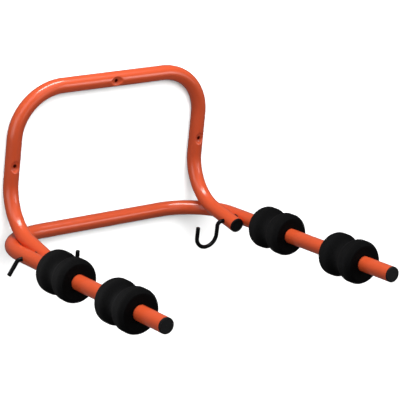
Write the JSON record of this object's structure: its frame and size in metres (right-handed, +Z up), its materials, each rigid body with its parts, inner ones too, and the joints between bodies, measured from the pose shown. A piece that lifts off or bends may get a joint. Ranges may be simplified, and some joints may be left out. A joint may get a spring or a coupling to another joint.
{
  "type": "bike wall rack",
  "caption": "Folding wall rack: a bent tube hoop screwed to the wall carries a hinged U-shaped tube with waisted foam pads, pinned by wire hooks.",
  "frame": {"origin": "on the wall plane, where the top screw enters the wall behind the middle of the hoop's top bar", "axes": "+X right along the wall, +Y into the wall, +Z up; the arms point out along -Y"},
  "size_m": [0.491, 0.5187, 0.2937],
  "materials": {
    "orange_coat": "gloss",
    "black_coat": "gloss",
    "black_plastic": "satin",
    "black_foam": "matte"
  },
  "bodies": {
    "wall_frame": {"wall_hoop_tube": "orange_coat", "left_foot_plug": "black_plastic", "right_foot_plug": "black_plastic", "left_pivot_washer": "black_plastic", "right_pivot_washer": "black_plastic"},
    "carrier": {"carrier_tube": "orange_coat", "left_arm_plug": "black_plastic", "right_arm_plug": "black_plastic"},
    "left_hook": {"left_wire_hook": "black_coat"},
    "right_hook": {"right_wire_hook": "black_coat"},
    "left_rear_pad": {"left_rear_foam_pad": "black_foam"},
    "left_front_pad": {"left_front_foam_pad": "black_foam"},
    "right_rear_pad": {"right_rear_foam_pad": "black_foam"},
    "right_front_pad": {"right_front_foam_pad": "black_foam"}
  },
  "joints": [
    {"name": "carrier_fold", "type": "hinge", "parent": "wall_frame", "child": "carrier", "pos_m": [0, -0.1315, -0.23445], "axis": [-1, 0, 0], "range_deg": [0, 92]},
    {"name": "left_hook_swing", "type": "hinge", "parent": "wall_frame", "child": "left_hook", "pos_m": [-0.18206, -0.1315, -0.23445], "axis": [1, 0, 0], "continuous": true},
    {"name": "right_hook_swing", "type": "hinge", "parent": "wall_frame", "child": "right_hook", "pos_m": [0.18206, -0.1315, -0.23445], "axis": [1, 0, 0], "continuous": true},
    {"name": "left_rear_pad_slide", "type": "slide", "parent": "carrier", "child": "left_rear_pad", "axis": [0, -0.9842, 0.1771], "range_m": [-0.037, 0.043]},
    {"name": "left_front_pad_slide", "type": "slide", "parent": "carrier", "child": "left_front_pad", "axis": [0, -0.9842, 0.1771], "range_m": [-0.043, 0.058]},
    {"name": "right_rear_pad_slide", "type": "slide", "parent": "carrier", "child": "right_rear_pad", "axis": [0, -0.9842, 0.1771], "range_m": [-0.02, 0.051]},
    {"name": "right_front_pad_slide", "type": "slide", "parent": "carrier", "child": "right_front_pad", "axis": [0, -0.9842, 0.1771], "range_m": [-0.051, 0.058]}
  ]
}
